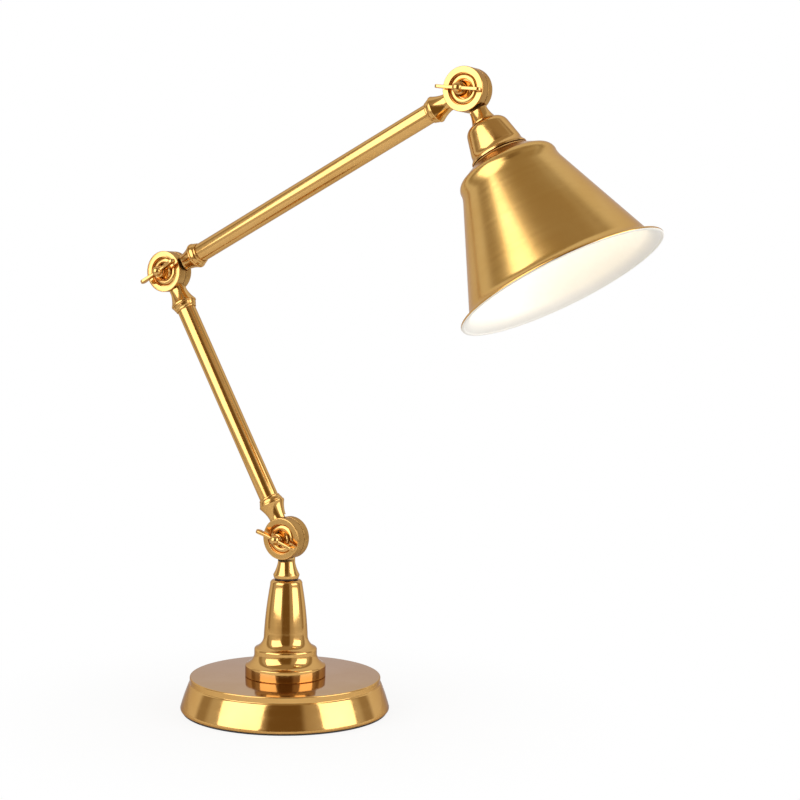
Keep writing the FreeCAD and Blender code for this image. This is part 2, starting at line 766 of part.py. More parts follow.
# ---- the whole lamp ----
def build():
    parts = {
        "base_pad": base_pad(),
        "base_shell": base_shell(),
        "base_weight": base_weight(),
        "cord_bush": cord_bush(),
        "stem": stem(),
        "stem_screws": stem_screws(),
        "swivel_ring": swivel_ring(),
        "swivel_spring": swivel_spring(),
        "swivel_nut": swivel_nut(),
        "stem_head": at_joint(knuckle_half(False, stem_neck()), SHOULDER, -90),
        "shoulder_front": at_joint(knuckle_half(True, arm_neck()), SHOULDER, LOWER_ARM_ANGLE),
        "elbow_front": at_joint(knuckle_half(True, arm_neck()), ELBOW, LOWER_ARM_ANGLE + 180),
        "elbow_back": at_joint(knuckle_half(False, arm_neck()), ELBOW, UPPER_ARM_ANGLE),
        "wrist_front": at_joint(knuckle_half(True, arm_neck()), WRIST, UPPER_ARM_ANGLE + 180),
        "wrist_back": at_joint(head_half(), WRIST, HEAD_ANGLE),
        "lower_tube": along(arm_tube(LOWER_ARM_LENGTH), SHOULDER, LOWER_ARM_ANGLE),
        "upper_tube": along(arm_tube(UPPER_ARM_LENGTH), ELBOW, UPPER_ARM_ANGLE),
        "lower_ferrules": ferrule_pair(LOWER_ARM_LENGTH, SHOULDER, LOWER_ARM_ANGLE),
        "upper_ferrules": ferrule_pair(UPPER_ARM_LENGTH, ELBOW, UPPER_ARM_ANGLE),
    }
    joints = (("shoulder", SHOULDER), ("elbow", ELBOW), ("wrist", WRIST))
    for (name, centre), setting in zip(joints, WING_SETTING):
        parts[name + "_friction_ring"] = at_joint(friction_ring(), centre)
        parts[name + "_bolt"] = at_joint(pivot_bolt(), centre, 35)
        parts[name + "_washer"] = at_joint(nut_washer(), centre)
        parts[name + "_wing_nut"] = at_joint(wing_nut(), centre, setting)
    on_head = (
        socket_cup,
        head_nipple,
        head_nut,
        holder_cap,
        holder_body,
        holder_contact,
        holder_shell,
        shade_ring,
        bulb_cap,
        bulb_globe,
        shade,
    )
    for make in on_head:
        parts[make.__name__] = along(make(), WRIST, HEAD_ANGLE)
    return parts


os.makedirs("parts", exist_ok=True)
for name, shape in build().items():
    shape.exportStep(os.path.join("parts", name + ".step"))
    print(f"{name:24s} solids {len(shape.Solids)} volume {shape.Volume:10.1f} valid {shape.isValid()}")
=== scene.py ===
import json
import math

import bpy
from mathutils import Matrix, Vector


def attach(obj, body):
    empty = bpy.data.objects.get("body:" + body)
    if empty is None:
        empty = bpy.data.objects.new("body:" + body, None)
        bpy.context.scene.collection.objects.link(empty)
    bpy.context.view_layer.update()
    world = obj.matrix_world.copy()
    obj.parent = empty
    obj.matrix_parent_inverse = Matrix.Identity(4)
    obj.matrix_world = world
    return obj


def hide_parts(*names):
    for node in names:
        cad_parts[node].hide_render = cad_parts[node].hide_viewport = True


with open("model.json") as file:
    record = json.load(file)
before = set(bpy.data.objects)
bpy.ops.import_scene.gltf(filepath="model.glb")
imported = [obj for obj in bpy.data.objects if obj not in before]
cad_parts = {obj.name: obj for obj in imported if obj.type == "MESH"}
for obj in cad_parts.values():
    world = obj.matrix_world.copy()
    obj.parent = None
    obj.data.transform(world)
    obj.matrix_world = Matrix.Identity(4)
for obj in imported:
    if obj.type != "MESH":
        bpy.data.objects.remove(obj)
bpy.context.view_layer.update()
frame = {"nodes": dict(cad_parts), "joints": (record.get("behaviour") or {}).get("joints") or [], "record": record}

MM = 0.001

# ---- camera: the photograph's own viewpoint, fitted to the lamp's outline ----
CAMERA_PLACE = Vector((759.857, -1137.353, 337.173)) * MM
CAMERA_RIGHT = Vector((0.86501691, 0.50152977, 0.01461619))
CAMERA_UP = Vector((-0.04492216, 0.04840019, 0.99781733))
CAMERA_AHEAD = Vector((-0.49972767, 0.86378545, -0.06439678))
CAMERA_SENSOR = 36.0
CAMERA_LENS = 78.006
CAMERA_NEAR = 0.05

# ---- joint places and arm directions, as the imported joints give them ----
JOINTS = {joint["name"]: joint for joint in frame["joints"]}
SHOULDER = Vector(JOINTS["shoulder_tilt"]["pos_m"])
ELBOW = Vector(JOINTS["elbow_tilt"]["pos_m"])
WRIST = Vector(JOINTS["wrist_tilt"]["pos_m"])
# direction of the head's axis, in degrees above +X
HEAD_ANGLE = -60.58


def angle_of(start, end):
    """Direction from one joint to the next in the XZ plane, in degrees above +X."""
    return math.degrees(math.atan2(end.z - start.z, end.x - start.x))


LOWER_ANGLE = angle_of(SHOULDER, ELBOW)
UPPER_ANGLE = angle_of(ELBOW, WRIST)


# ---- selection ----
def deselect():
    bpy.ops.object.select_all(action="DESELECT")


def choose(piece):
    """Makes one object the only selected and active one."""
    deselect()
    piece.select_set(True)
    bpy.context.view_layer.objects.active = piece


# ---- camera ----
def make_camera():
    data = bpy.data.cameras.new("camera")
    data.sensor_width = CAMERA_SENSOR
    data.lens = CAMERA_LENS
    data.clip_start = CAMERA_NEAR
    camera = bpy.data.objects.new("camera", data)
    bpy.context.scene.collection.objects.link(camera)
    turn = Matrix((CAMERA_RIGHT, CAMERA_UP, -CAMERA_AHEAD)).transposed()
    camera.matrix_world = Matrix.Translation(CAMERA_PLACE) @ turn.to_4x4()
    bpy.context.scene.camera = camera


# ---- node helpers ----
def node(tree, kind, **settings):
    """New node of one kind, with its settings."""
    made = tree.nodes.new(kind)
    for key, value in settings.items():
        setattr(made, key, value)
    return made


def new_material(name):
    """Material with one Principled shader on its output and nothing else."""
    material = bpy.data.materials.new(name)
    material.use_nodes = True
    tree = material.node_tree
    tree.nodes.clear()
    output = node(tree, "ShaderNodeOutputMaterial")
    shader = node(tree, "ShaderNodeBsdfPrincipled")
    tree.links.new(shader.outputs["BSDF"], output.inputs["Surface"])
    return material, tree, shader


def new_group(name, inputs, outputs):
    """Shader node group with named float, colour or vector sockets."""
    group = bpy.data.node_groups.new(name, "ShaderNodeTree")
    for label, kind, default in inputs:
        socket = group.interface.new_socket(label, in_out="INPUT", socket_type=kind)
        if default is not None:
            socket.default_value = default
    for label, kind in outputs:
        group.interface.new_socket(label, in_out="OUTPUT", socket_type=kind)
    return group, node(group, "NodeGroupInput"), node(group, "NodeGroupOutput")


def math_node(tree, operation, first, second=None):
    """Result of one operation; each value is a number or another node's output."""
    made = node(tree, "ShaderNodeMath", operation=operation)
    for i, value in enumerate((first, second)):
        if value is None:
            continue
        if isinstance(value, (int, float)):
            made.inputs[i].default_value = value
        else:
            tree.links.new(value, made.inputs[i])
    return made.outputs[0]


def noise(tree, source, scale, detail=2.0, dimensions="3D"):
    """Noise over a vector or, with dimensions of 1D, along a length."""
    made = node(tree, "ShaderNodeTexNoise", noise_dimensions=dimensions)
    made.inputs["Scale"].default_value = scale
    made.inputs["Detail"].default_value = detail
    tree.links.new(source, made.inputs["W" if dimensions == "1D" else "Vector"])
    return made.outputs["Fac"]


def mapped(tree, source, given, wanted=(0.0, 1.0), smooth=False):
    """Value carried from the given range to the wanted one, with soft ends if smooth."""
    kind = "SMOOTHSTEP" if smooth else "LINEAR"
    made = node(tree, "ShaderNodeMapRange", interpolation_type=kind)
    made.inputs["From Min"].default_value, made.inputs["From Max"].default_value = given
    made.inputs["To Min"].default_value, made.inputs["To Max"].default_value = wanted
    tree.links.new(source, made.inputs["Value"])
    return made.outputs["Result"]


# ---- effects that more than one finish uses ----
LINES_PER_METRE = 2200.0
STREAK_SCALE = 0.12
CLOUD_SCALE = 38.0
# pointiness is 0.5 on a flat face and more on an outer edge
EDGE_START = 0.54
EDGE_REACH = 0.06
EDGE_NOISE_SCALE = 700.0


def turned_grain_group():
    """Marks of turning and buffing about the local Z axis.

    Height is the fine rings, Streak their slow change and Cloud a mottle over the surface.
    """
    group, given, out = new_group(
        "turned_grain",
        [("Vector", "NodeSocketVector", None), ("Lines per metre", "NodeSocketFloat", LINES_PER_METRE)],
        [("Height", "NodeSocketFloat"), ("Streak", "NodeSocketFloat"), ("Cloud", "NodeSocketFloat")],
    )
    split = node(group, "ShaderNodeSeparateXYZ")
    group.links.new(given.outputs["Vector"], split.inputs[0])
    x, y, z = split.outputs[0], split.outputs[1], split.outputs[2]
    squared = math_node(group, "ADD", math_node(group, "MULTIPLY", x, x), math_node(group, "MULTIPLY", y, y))
    travel = math_node(group, "ADD", z, math_node(group, "SQRT", squared))
    line = math_node(group, "MULTIPLY", travel, given.outputs["Lines per metre"])
    results = {
        "Height": noise(group, line, 1.0, dimensions="1D"),
        "Streak": noise(group, line, STREAK_SCALE, dimensions="1D"),
        "Cloud": noise(group, given.outputs["Vector"], CLOUD_SCALE, detail=3.0),
    }
    for label, result in results.items():
        group.links.new(result, out.inputs[label])
    return group


def edge_wear_group():
    """Mask of handled outer edges, broken up by a fine noise."""
    group, given, out = new_group(
        "edge_wear",
        [("Vector", "NodeSocketVector", None), ("Reach", "NodeSocketFloat", EDGE_REACH)],
        [("Worn", "NodeSocketFloat")],
    )
    shape = node(group, "ShaderNodeNewGeometry")
    raised = math_node(group, "SUBTRACT", shape.outputs["Pointiness"], EDGE_START)
    level = math_node(group, "DIVIDE", raised, given.outputs["Reach"])
    broken = noise(group, given.outputs["Vector"], EDGE_NOISE_SCALE, detail=3.0)
    kept = node(group, "ShaderNodeClamp")
    group.links.new(math_node(group, "MULTIPLY", level, broken), kept.inputs["Value"])
    group.links.new(kept.outputs[0], out.inputs["Worn"])
    return group


GRAIN = turned_grain_group()
WEAR = edge_wear_group()
NOISE_MIDDLE = (0.3, 0.7)


def ramp(tree, source, low, high):
    """Maps the middle of a noise's range to low..high."""
    return mapped(tree, source, NOISE_MIDDLE, (low, high))


def blended(tree, factor, first, second):
    """Colour mixed from first to second; each is a colour or another node's output."""
    made = node(tree, "ShaderNodeMix", data_type="RGBA")
    tree.links.new(factor, made.inputs["Factor"])
    for label, value in (("A", first), ("B", second)):
        if isinstance(value, tuple):
            made.inputs[label].default_value = (*value, 1)
        else:
            tree.links.new(value, made.inputs[label])
    return made.outputs["Result"]


def scaled(colour, factors):
    """Colour with each part multiplied by its factor and held at 1 or less."""
    return tuple(min(1.0, part * factor) for part, factor in zip(colour, factors))


def wear_mask(tree, source):
    """Where outer edges are worn, over the given coordinates."""
    wear = node(tree, "ShaderNodeGroup", node_tree=WEAR)
    tree.links.new(source, wear.inputs["Vector"])
    return wear.outputs["Worn"]


def add_relief(tree, shader, height, strength, depth):
    """Bump that follows a height pattern, its depth in metres."""
    bump = node(tree, "ShaderNodeBump")
    bump.inputs["Strength"].default_value = strength
    bump.inputs["Distance"].default_value = depth
    tree.links.new(height, bump.inputs["Height"])
    tree.links.new(bump.outputs["Normal"], shader.inputs["Normal"])


# factors on a finish's colour where it is deeper, worn at an edge, or dimmer
BRASS_DEEP = (0.94, 0.89, 0.78)
BRASS_WORN = (1.12, 1.16, 1.4)
SPECKLED_WORN = (1.5, 1.5, 1.5)
GLASS_DIM = (0.95, 0.95, 0.95)
BRASS_RELIEF = 0.00001
SPECKLED_RELIEF = 0.0001
SPECKLED_BUMP = 0.4


def brass(name, centre, turn, rough, tint, edge_tint, grain):
    """Lacquered brass turned about its own axis: centre and turn put that axis on the pattern's Z."""
    material, tree, shader = new_material(name)
    shader.inputs["Metallic"].default_value = 1.0
    shader.inputs["Specular Tint"].default_value = (*edge_tint, 1)
    place = node(tree, "ShaderNodeTexCoord")
    shift = node(tree, "ShaderNodeMapping", vector_type="TEXTURE")
    shift.inputs["Location"].default_value = centre
    shift.inputs["Rotation"].default_value = turn
    tree.links.new(place.outputs["Object"], shift.inputs["Vector"])
    marks = node(tree, "ShaderNodeGroup", node_tree=GRAIN)
    marks.inputs["Lines per metre"].default_value = LINES_PER_METRE
    tree.links.new(shift.outputs["Vector"], marks.inputs["Vector"])
    cloud = ramp(tree, marks.outputs["Cloud"], 0.2, 1.0)
    colour = blended(tree, cloud, scaled(tint, BRASS_DEEP), tint)
    colour = blended(tree, wear_mask(tree, shift.outputs["Vector"]), colour, scaled(tint, BRASS_WORN))
    tree.links.new(colour, shader.inputs["Base Color"])
    tree.links.new(ramp(tree, marks.outputs["Streak"], *rough), shader.inputs["Roughness"])
    add_relief(tree, shader, marks.outputs["Height"], grain, BRASS_RELIEF)
    return material


def speckled(name, dark, light, rough, scale, relief=SPECKLED_RELIEF, metallic=0.0):
    """Moulded, cast or plated finish, or near-black painted shade, with a fine mottle in colour, gloss and relief,
    worn at its edges.
    """
    material, tree, shader = new_material(name)
    shader.inputs["Metallic"].default_value = metallic
    place = node(tree, "ShaderNodeTexCoord").outputs["Object"]
    mottle = noise(tree, place, scale, detail=4.0)
    colour = blended(tree, mottle, dark, light)
    colour = blended(tree, wear_mask(tree, place), colour, scaled(light, SPECKLED_WORN))
    tree.links.new(colour, shader.inputs["Base Color"])
    tree.links.new(ramp(tree, mottle, *rough), shader.inputs["Roughness"])
    add_relief(tree, shader, mottle, SPECKLED_BUMP, relief)
    return material


def lit_glass(name, colour, strength):
    """Opal glass lit from inside, a little uneven."""
    material, tree, shader = new_material(name)
    place = node(tree, "ShaderNodeTexCoord").outputs["Object"]
    milky = blended(tree, noise(tree, place, 60.0), scaled(colour, GLASS_DIM), colour)
    tree.links.new(milky, shader.inputs["Base Color"])
    tree.links.new(milky, shader.inputs["Emission Color"])
    shader.inputs["Emission Strength"].default_value = strength
    shader.inputs["Roughness"].default_value = 0.2
    return material


# ---- finishes, with colours in linear red, green and blue ----
GOLD = (0.72, 0.43, 0.15)
PLATE_GOLD = (0.72, 0.53, 0.31)
SHADE_GOLD = (0.70, 0.44, 0.15)
RIM_GOLD = (0.54, 0.32, 0.11)
# tints where the metal is seen at a grazing angle
GOLD_EDGE = (0.59, 0.51, 0.49)
PLATE_EDGE = (0.61, 0.53, 0.54)
SHADE_EDGE = (0.70, 0.60, 0.56)
# roughness of the brightest and of the dullest streaks
BASE_GLOSS = (0.07, 0.13)
PLATE_GLOSS = (0.08, 0.12)
FACE_GLOSS = (0.09, 0.15)
ARM_GLOSS = (0.11, 0.16)
HEAD_GLOSS = (0.12, 0.18)
SHADE_GLOSS = (0.19, 0.24)
RIM_GLOSS = (0.28, 0.40)
ORIGIN = (0, 0, 0)
UPRIGHT = (0, 0, 0)
PIVOT_TURN = (math.radians(90), 0, 0)


def arm_turn(angle):
    """Turn that lays the pattern's Z along an arm."""
    return (0, math.radians(90 - angle), 0)


LOWER_TURN, UPPER_TURN, HEAD_TURN = (arm_turn(angle) for angle in (LOWER_ANGLE, UPPER_ANGLE, HEAD_ANGLE))
BASE_POLISHED = brass("base_polished_brass", ORIGIN, UPRIGHT, BASE_GLOSS, GOLD, GOLD_EDGE, 0.06)
BASE_PLATE = brass("base_plate_brass", ORIGIN, UPRIGHT, PLATE_GLOSS, PLATE_GOLD, PLATE_EDGE, 0.03)
LOWER_BRASS = brass("lower_arm_brass", SHOULDER, LOWER_TURN, ARM_GLOSS, GOLD, GOLD_EDGE, 0.015)
UPPER_BRASS = brass("upper_arm_brass", ELBOW, UPPER_TURN, ARM_GLOSS, GOLD, GOLD_EDGE, 0.015)
HEAD_POLISHED = brass("head_polished_brass", WRIST, HEAD_TURN, HEAD_GLOSS, GOLD, GOLD_EDGE, 0.06)
SHADE_BRASS = brass("shade_brass", WRIST, HEAD_TURN, SHADE_GLOSS, SHADE_GOLD, SHADE_EDGE, 0.07)
CENTRES = {"shoulder": SHOULDER, "elbow": ELBOW, "wrist": WRIST}
FACE_BRASS = {name: brass(name + "_face_brass", place, PIVOT_TURN, FACE_GLOSS, GOLD, GOLD_EDGE, 0.05)
              for name, place in CENTRES.items()}
RIM_BRASS = {name: brass(name + "_rim_brass", place, PIVOT_TURN, RIM_GLOSS, RIM_GOLD, GOLD_EDGE, 0.2)
             for name, place in CENTRES.items()}
# painted shade: near-black finish for the cut faces in the gap round each knuckle, where shadow falls
PAINTED_GAP_SHADE = speckled("painted_gap_shade", (0.012, 0.008, 0.004), (0.04, 0.025, 0.01), (0.5, 0.7), 500.0)
ENAMEL = speckled("white_enamel", (0.86, 0.845, 0.80), (0.90, 0.885, 0.845), (0.3, 0.42), 260.0, 0.00005)
RUBBER = speckled("rubber", (0.010, 0.011, 0.016), (0.024, 0.025, 0.032), (0.5, 0.7), 900.0)
FIBRE = speckled("fibre", (0.020, 0.009, 0.004), (0.045, 0.022, 0.010), (0.4, 0.6), 1500.0)
STEEL = speckled("plated_steel", (0.45, 0.45, 0.43), (0.62, 0.62, 0.6), (0.2, 0.4), 700.0, metallic=1.0)
IRON = speckled("iron", (0.03, 0.03, 0.03), (0.07, 0.07, 0.07), (0.5, 0.8), 400.0, 0.0004)
PHENOLIC = speckled("phenolic", (0.012, 0.012, 0.012), (0.03, 0.03, 0.03), (0.2, 0.35), 600.0)
OPAL = lit_glass("lit_opal_glass", (1.0, 0.91, 0.76), 4.8)

BY_SLOT = {
    "rubber": RUBBER, "fibre": FIBRE, "steel": STEEL, "iron": IRON, "phenolic": PHENOLIC,
    "contact_brass": HEAD_POLISHED, "bulb_metal": STEEL, "opal_glass": OPAL, "shade_brass": SHADE_BRASS,
}
BY_BODY = {
    "base": BASE_POLISHED, "stem_head": BASE_POLISHED,
    "lower_arm": LOWER_BRASS, "upper_arm": UPPER_BRASS, "head": HEAD_POLISHED,
    "shoulder_wing_nut": FACE_BRASS["shoulder"], "elbow_wing_nut": FACE_BRASS["elbow"],
    "wrist_wing_nut": FACE_BRASS["wrist"],
}
SLOTS = {row["node"]: row["material_slot"] for row in frame["record"]["subparts"]}
BODY_OF = {name: body for body, names in frame["record"]["behaviour"]["bodies"].items() for name in names}


def finish_for(name):
    """Finish of a node by its material slot, or else by the body it rides on."""
    return BY_SLOT.get(SLOTS[name], BY_BODY[BODY_OF[name]])


# ---- shaping helpers, in millimetres until a piece is put in its place ----
ARC_STEPS = 9
# a corner that turns by less than this, in radians, stays as it is
SHARP_TURN = 0.42
# how much of a side an eased corner may take
SIDE_SHARE = 0.42
TINY = 1e-6
# in millimetres, for shapes that are still being drawn
WELD = 0.0005
# in metres, for shapes that are already in place
PACKED_WELD = 1e-6


def arc_through(start, middle, end):
    """Points along the arc from start through middle to end, without the start."""
    (ax, ay), (bx, by), (cx, cy) = start, middle, end
    d = 2 * (ax * (by - cy) + bx * (cy - ay) + cx * (ay - by))
    ux = ((ax**2 + ay**2) * (by - cy) + (bx**2 + by**2) * (cy - ay) + (cx**2 + cy**2) * (ay - by)) / d
    uy = ((ax**2 + ay**2) * (cx - bx) + (bx**2 + by**2) * (ax - cx) + (cx**2 + cy**2) * (bx - ax)) / d
    radius = math.hypot(ax - ux, ay - uy)
    first = math.atan2(ay - uy, ax - ux)
    half = math.remainder(math.atan2(by - uy, bx - ux) - first, math.tau)
    rest = math.remainder(math.atan2(cy - uy, cx - ux) - first - half, math.tau)
    turns = [first + (half + rest) * (i + 1) / ARC_STEPS for i in range(ARC_STEPS)]
    return [(ux + radius * math.cos(turn), uy + radius * math.sin(turn)) for turn in turns]


def traced(start, *steps):
    """Points of an outline: a step is a point, or (middle, end) for an arc."""
    points = [start]
    for step in steps:
        if isinstance(step[0], tuple):
            points += arc_through(points[-1], *step)
        else:
            points.append(step)
    return points


def eased(points, size=0.3, closed=False):
    """The outline with its sharp corners rounded over."""
    count = len(points)
    soft = []
    for i, corner in enumerate(points):
        if not closed and i in (0, count - 1):
            soft.append(corner)
            continue
        here = Vector(corner)
        back = Vector(points[i - 1]) - here
        ahead = Vector(points[(i + 1) % count]) - here
        on_axis = corner[0] < TINY
        doubled = back.length < TINY or ahead.length < TINY
        if on_axis or doubled or math.pi - back.angle(ahead) < SHARP_TURN:
            soft.append(corner)
            continue
        reach = min(size, back.length * SIDE_SHARE, ahead.length * SIDE_SHARE)
        first = here + back.normalized() * reach
        last = here + ahead.normalized() * reach
        for t in (0.0, 0.25, 0.5, 0.75, 1.0):
            spot = first * (1 - t) ** 2 + here * 2 * t * (1 - t) + last * t**2
            soft.append((spot.x, spot.y))
    return soft


def joint_frame(centre, angle=0.0):
    """A knuckle's own frame: pivot on Z with its front towards the viewer, neck on +X."""
    return Matrix.Translation(centre) @ Matrix.Rotation(math.radians(90), 4, "X") @ Matrix.Rotation(
        math.radians(angle), 4, "Z")


def axis_frame(centre, angle):
    """A frame whose Z runs from a joint along an arm."""
    return joint_frame(centre, angle) @ Matrix.Rotation(math.radians(90), 4, "Y")


def settle(piece, place):
    """Moves a piece drawn in millimetres to its place in the lamp and applies that to its mesh."""
    choose(piece)
    piece.matrix_world = place @ Matrix.Scale(MM, 4)
    bpy.context.view_layer.update()
    bpy.ops.object.transform_apply(location=True, rotation=True, scale=True)
    return piece


def drawn(name, points):
    """Chain of vertices in the XZ plane, pulled out one after another from a first point."""
    deselect()
    bpy.ops.mesh.primitive_plane_add(size=1.0, location=(0, 0, 0))
    piece = bpy.context.object
    piece.name = name
    bpy.ops.object.mode_set(mode="EDIT")
    bpy.ops.mesh.select_all(action="SELECT")
    bpy.ops.mesh.merge(type="CENTER")
    bpy.ops.transform.translate(value=(points[0][0], 0, points[0][1]))
    for (ar, az), (br, bz) in zip(points, points[1:]):
        bpy.ops.mesh.extrude_vertices_move(TRANSFORM_OT_translate={"value": (br - ar, 0, bz - az)})
    bpy.ops.mesh.select_all(action="SELECT")
    return piece


def spin_round(steps):
    """Turns the chain that is being drawn about Z, welds it and faces it outwards."""
    bpy.ops.mesh.spin(steps=steps, angle=math.tau, center=(0, 0, 0), axis=(0, 0, 1))
    bpy.ops.mesh.select_all(action="SELECT")
    bpy.ops.mesh.remove_doubles(threshold=WELD)
    bpy.ops.mesh.normals_make_consistent(inside=False)
    bpy.ops.object.mode_set(mode="OBJECT")


def lathe(name, points, place=Matrix(), steps=96, ring=False, ease=0.3):
    """Closed solid turned from an outline; a ring's outline also closes from its last point to its first."""
    line = eased(points, ease, ring)
    if ring:
        line = line + [line[0]]
    piece = drawn(name, line)
    spin_round(steps)
    return settle(piece, place)


def spun_sheet(name, points, wall, finishes, place=Matrix(), steps=128, ease=0.3):
    """Sheet metal spun from one line, its wall given inwards, with an outer and an inner finish."""
    piece = drawn(name, eased(points, ease))
    for material in finishes:
        piece.data.materials.append(material)
    spin_round(steps)
    outward = sum(face.normal.x * face.center.x + face.normal.y * face.center.y
                  for face in piece.data.polygons)
    if outward < 0:
        bpy.ops.object.mode_set(mode="EDIT")
        bpy.ops.mesh.flip_normals()
        bpy.ops.object.mode_set(mode="OBJECT")
    solid = piece.modifiers.new("wall", "SOLIDIFY")
    solid.thickness = wall
    solid.offset = -1
    solid.use_even_offset = True
    solid.material_offset = 1
    bpy.ops.object.modifier_apply(modifier=solid.name)
    return settle(piece, place)


def drum(radius, low, high, place, steps=96):
    """Plain cylinder used only as a cutter."""
    deselect()
    bpy.ops.mesh.primitive_cylinder_add(vertices=steps, radius=radius, depth=high - low,
                                        location=(0, 0, (low + high) / 2))
    cutter = bpy.context.object
    bpy.ops.object.transform_apply(location=True, rotation=True, scale=True)
    return settle(cutter, place)


def combine(piece, tool, operation):
    """Unites a piece with a tool or cuts the tool from it, and removes the tool."""
    choose(piece)
    change = piece.modifiers.new("combine", "BOOLEAN")
    change.operation = operation
    change.solver = "EXACT"
    change.object = tool
    bpy.ops.object.modifier_apply(modifier=change.name)
    bpy.data.objects.remove(tool, do_unlink=True)
    return piece


def finished(piece, node_name, *materials, smooth=32):
    """Gives a piece its finish, and lets it ride and stand for its CAD node."""
    choose(piece)
    bpy.ops.object.shade_smooth_by_angle(angle=math.radians(smooth))
    sides = [face.material_index for face in piece.data.polygons]
    piece.data.materials.clear()
    for material in materials or (finish_for(node_name),):
        piece.data.materials.append(material)
    for face, side in zip(piece.data.polygons, sides):
        face.material_index = min(side, len(piece.data.materials) - 1)
    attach(piece, BODY_OF[node_name])
    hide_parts(node_name)
    return piece


def paint(piece, index, wanted):
    """Gives the finish of an index to the faces for which wanted(centre, normal) holds."""
    for face in piece.data.polygons:
        if wanted(face.center, face.normal):
            face.material_index = index


def smooth_copy(name):
    """Merged, smooth-shaded copy of a CAD node, standing for it."""
    source = frame["nodes"][name]
    copy = source.copy()
    copy.data = source.data.copy()
    for key in list(copy.keys()):
        if key.startswith("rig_"):
            del copy[key]
    copy.parent = None
    bpy.context.scene.collection.objects.link(copy)
    copy.name = name + "_piece"
    choose(copy)
    bpy.ops.object.mode_set(mode="EDIT")
    bpy.ops.mesh.select_all(action="SELECT")
    bpy.ops.mesh.remove_doubles(threshold=PACKED_WELD)
    bpy.ops.object.mode_set(mode="OBJECT")
    return finished(copy, name)


# ---- base ----
BASE_WALL = 1.2
PLATE_AT = 28.0
CORD_HOLE_R = 4.43
CORD_HOLE_AT = 11.5


def make_base():
    """Spun shell with the cord's hole at its rear, a paler top plate, and the dark foot under it."""
    shell = spun_sheet(
        "spun_base",
        traced((81.4, 1.2), ((82.55, 2.0), (83.0, 3.5)), ((80.7, 11.2), (76.6, 22.3)), (75.8, 23.0),
               (75.8, 27.2), ((75.56, 27.76), (75.0, PLATE_AT)), (8.0, PLATE_AT)),
        BASE_WALL, (BASE_POLISHED, BASE_POLISHED), steps=176)
    rear = Matrix.Translation((0, 0, CORD_HOLE_AT * MM)) @ Matrix.Rotation(math.radians(-90), 4, "X")
    combine(shell, drum(CORD_HOLE_R, 40, 120, rear, 48), "DIFFERENCE")
    finished(shell, "base_shell", BASE_POLISHED, BASE_PLATE, smooth=30)
    paint(shell, 0, lambda centre, normal: True)
    paint(shell, 1, lambda centre, normal: normal.z > 0.97 and centre.z > (PLATE_AT - 0.5) * MM)
    pad = lathe("base_foot", [(0, 0), (81.0, 0), (81.4, 0.4), (81.4, 1.2), (0, 1.2)], steps=128, ease=0.2)
    finished(pad, "base_pad")


def make_stem():
    """Turned stem, hollow for its bolt and cord, and the friction ring on its top."""
    stem = lathe(
        "turned_stem",
        traced((13.5, PLATE_AT), (31.4, PLATE_AT), (32.0, 28.6), (32.0, 36.6), ((31.75, 37.2), (31.2, 37.5)),
               ((27.2, 40.5), (24.9, 44.8)), (24.9, 49.0), ((24.4, 50.5), (23.3, 51.1)),
               ((19.6, 54.0), (17.5, 59.0)), ((16.3, 76.0), (12.8, 101.5)), ((12.2, 103.9), (10.8, 105.0)),
               (6.05, 105.0), (6.05, 97.0), (9.8, 97.0), (13.5, 59.0)),
        steps=128, ring=True)
    finished(stem, "stem", smooth=28)
    ring = lathe("swivel_friction_ring", [(6.15, 105.0), (9.1, 105.0), (9.1, 106.45), (6.15, 106.45)],
                 steps=64, ring=True, ease=0.15)
    finished(ring, "swivel_ring")


# ---- knuckles ----
KNUCKLE_R = 16.65
NECK_R = 6.85
TUBE_END = 30.5
# half the gap between the two halves of a knuckle
PARTING = 0.35
# room round a disc in which the other half's neck is cut away
NECK_ROOM = 2.0
# thickness, edge rounding and bore of each half
FACES = {"front": (8.6, 0.6, 3.05), "back": (7.8, 2.0, 3.03)}


def dished_disc(name, centre, side):
    """One half of a knuckle: thin parting face, ring, groove and domed boss round the bolt's dish."""
    thickness, edge, bore = FACES[side]
    face = PARTING + thickness
    ease = edge * (1 - math.sqrt(0.5))
    line = traced(
        (bore, PARTING), (5.2, PARTING), (5.2, 3.75), (13.4, 3.75), (13.4, PARTING), (KNUCKLE_R, PARTING),
        (KNUCKLE_R, face - edge), ((KNUCKLE_R - ease, face - ease), (KNUCKLE_R - edge, face)),
        (12.05, face), (12.05, face - 2.0), (11.45, face - 2.0),
        ((10.025, face - 0.95), (7.7, face - 0.8)), (7.2, face - 1.3), (7.2, face - 3.8), (bore, face - 3.8))
    if side == "back":
        line = [(r, -z) for r, z in line]
    return lathe(name, line, joint_frame(centre), steps=112, ring=True, ease=0.18)


def neck(flange_r, flange_at, end):
    """Outline of a turned neck: straight out of the knuckle, then flared to its flange."""
    start = KNUCKLE_R - 2.2
    straight_end = KNUCKLE_R + 2.6
    middle = (straight_end + flange_at) / 2
    return traced((0, start), (NECK_R, start), (NECK_R, straight_end),
                  ((NECK_R + (flange_r - NECK_R) * 0.36, middle), (flange_r, flange_at)), *end)


ARM_NECK = neck(10.45, 29.2, ((10.45, 30.2), (10.15, TUBE_END), (6.57, TUBE_END), (6.57, 44.5), (0, 44.5)))
STEM_NECK = neck(10.45, 29.13, ((10.45, 29.63), (9.85, 31.83), (6.0, 31.83), (6.0, 52.0), (0, 52.0)))
HEAD_NECK = neck(9.4, 27.2, ((9.4, 28.2), (0, 28.2)))


